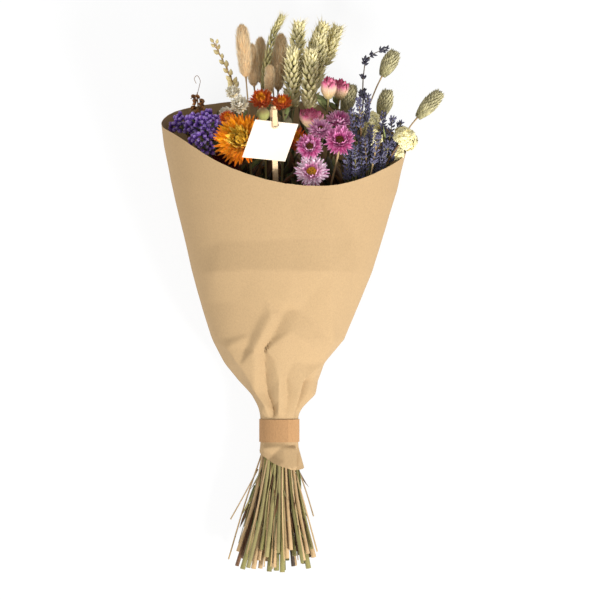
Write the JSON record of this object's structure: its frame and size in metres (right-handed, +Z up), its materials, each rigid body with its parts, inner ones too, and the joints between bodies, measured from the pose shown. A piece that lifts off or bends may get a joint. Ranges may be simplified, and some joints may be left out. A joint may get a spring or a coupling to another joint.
{
  "type": "mixed flower bouquet",
  "caption": "Mixed dried flowers in a kraft paper cone, tied at the neck, with a bare card pegged to a stick, lying on its back.",
  "frame": {"origin": "on the flat back of the paper cone, where it lies on the surface, at the middle of its width", "axes": "+Y from the cut stems to the flower heads, +Z up from the surface through the open front of the bouquet, +X to the right when seen from above"},
  "size_m": [0.277, 0.5587, 0.1919],
  "materials": {
    "wheat": "matt dried ears",
    "grass_ear": "matt dried ear",
    "bunny_tail": "soft and hairy",
    "canary_grass": "matt dried ear",
    "flax": "matt dried pods",
    "brown_spray": "matt dried leaf",
    "white_everlasting": "papery petals",
    "orange_strawflower": "papery petals with a sheen",
    "rust_strawflower": "papery petals with a sheen",
    "red_strawflower": "papery petals with a sheen",
    "green_pod": "matt dried pod",
    "statice": "papery florets",
    "rose": "matt dried petals",
    "yarrow": "matt dried florets",
    "lavender": "matt dried buds",
    "pink_everlasting": "papery petals",
    "kraft_paper": "uncoated, creased",
    "brown_band": "uncoated, a darker kraft",
    "twine": "raw twine",
    "card": "uncoated card",
    "pale_wood": "raw birch",
    "spring_wire": "drawn wire"
  },
  "bodies": {
    "root": {"wheat_1": "wheat", "wheat_2": "wheat", "wheat_3": "wheat", "wheat_4": "wheat", "wheat_5": "wheat", "wheat_6": "wheat", "grass_ear": "grass_ear", "bunny_tail_1": "bunny_tail", "bunny_tail_2": "bunny_tail", "bunny_tail_3": "bunny_tail", "bunny_tail_4": "bunny_tail", "bunny_tail_5": "bunny_tail", "bunny_tail_6": "bunny_tail", "canary_grass_1": "canary_grass", "canary_grass_2": "canary_grass", "canary_grass_3": "canary_grass", "canary_grass_4": "canary_grass", "flax_pods": "flax", "brown_spray": "brown_spray", "white_everlasting_1": "white_everlasting", "white_everlasting_2": "white_everlasting", "white_everlasting_3": "white_everlasting", "rust_strawflower_1": "rust_strawflower", "rust_strawflower_2": "rust_strawflower", "rust_strawflower_3": "rust_strawflower", "green_pod_1": "green_pod", "green_pod_2": "green_pod", "statice_1": "statice", "statice_2": "statice", "statice_3": "statice", "statice_4": "statice", "rose_1": "rose", "rose_2": "rose", "rose_3": "rose", "yarrow_1": "yarrow", "yarrow_2": "yarrow", "yarrow_3": "yarrow", "yarrow_4": "yarrow", "tall_lavender": "lavender", "lavender_1": "lavender", "lavender_2": "lavender", "lavender_3": "lavender", "lavender_4": "lavender", "lavender_5": "lavender", "pink_everlasting_1": "pink_everlasting", "pink_everlasting_2": "pink_everlasting", "pink_everlasting_3": "pink_everlasting", "pink_everlasting_4": "pink_everlasting", "pink_everlasting_5": "pink_everlasting", "orange_strawflower": "orange_strawflower", "rust_strawflower_4": "rust_strawflower", "red_strawflower": "red_strawflower", "stem_tie": "twine", "paper_wrapper": "kraft_paper", "paper_band": "brown_band", "card_stick": "pale_wood", "peg_front_leg": "pale_wood", "peg_back_leg": "pale_wood", "peg_spring": "spring_wire", "card": "card"}
  },
  "joints": []
}
